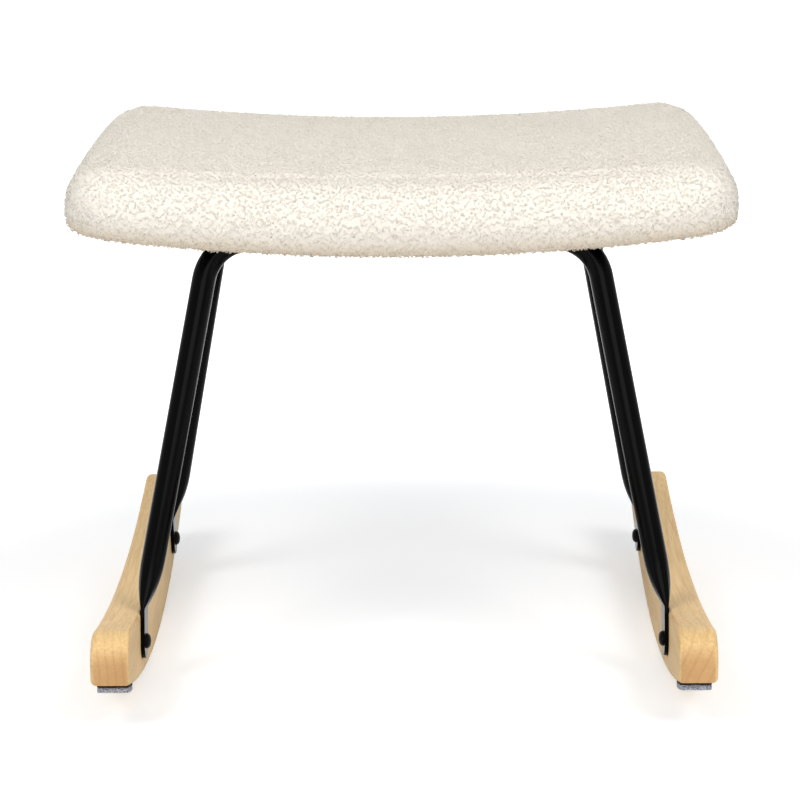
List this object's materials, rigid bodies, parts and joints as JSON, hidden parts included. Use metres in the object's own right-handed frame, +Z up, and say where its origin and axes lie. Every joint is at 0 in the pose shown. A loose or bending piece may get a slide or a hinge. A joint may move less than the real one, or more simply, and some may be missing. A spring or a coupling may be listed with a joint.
{
  "type": "rocking footstool",
  "caption": "Rocking footstool: a padded saddle seat in curly fabric on bent black steel tube legs, bolted to curved wooden rockers with felt pads under the tips.",
  "frame": {"origin": "on the floor, under the middle of the seat, at the height of the rockers' lowest line", "axes": "+X along the seat's longer side, +Y from the front towards the rear, +Z up"},
  "size_m": [0.52, 0.48, 0.4325],
  "materials": {
    "boucle_fabric": "curly looped pile, ivory",
    "foam": "open-cell upholstery foam",
    "plywood": "bent plywood, sanded",
    "lining": "thin non-woven lining, black",
    "plated_steel": "zinc plated",
    "black_steel": "satin black powder coat",
    "pale_wood": "clear satin lacquer on pale hardwood",
    "pad_backing": "black adhesive foam backing",
    "felt": "pressed grey felt"
  },
  "bodies": {
    "root": {"seat_cover": "boucle_fabric", "foam_pad": "foam", "seat_board": "plywood", "dust_cover": "lining", "cover_staples": "plated_steel", "tee_nuts": "plated_steel", "seat_bolts": "black_steel", "seat_washers": "black_steel", "left_seat_bracket": "black_steel", "right_seat_bracket": "black_steel", "bracket_welds": "black_steel", "front_leg_tube": "black_steel", "rear_leg_tube": "black_steel", "left_rocker": "pale_wood", "right_rocker": "pale_wood", "rocker_inserts": "plated_steel", "rocker_bolts": "black_steel", "front_left_pad_backing": "pad_backing", "front_right_pad_backing": "pad_backing", "rear_left_pad_backing": "pad_backing", "rear_right_pad_backing": "pad_backing", "front_left_felt_pad": "felt", "front_right_felt_pad": "felt", "rear_left_felt_pad": "felt", "rear_right_felt_pad": "felt"}
  },
  "joints": []
}
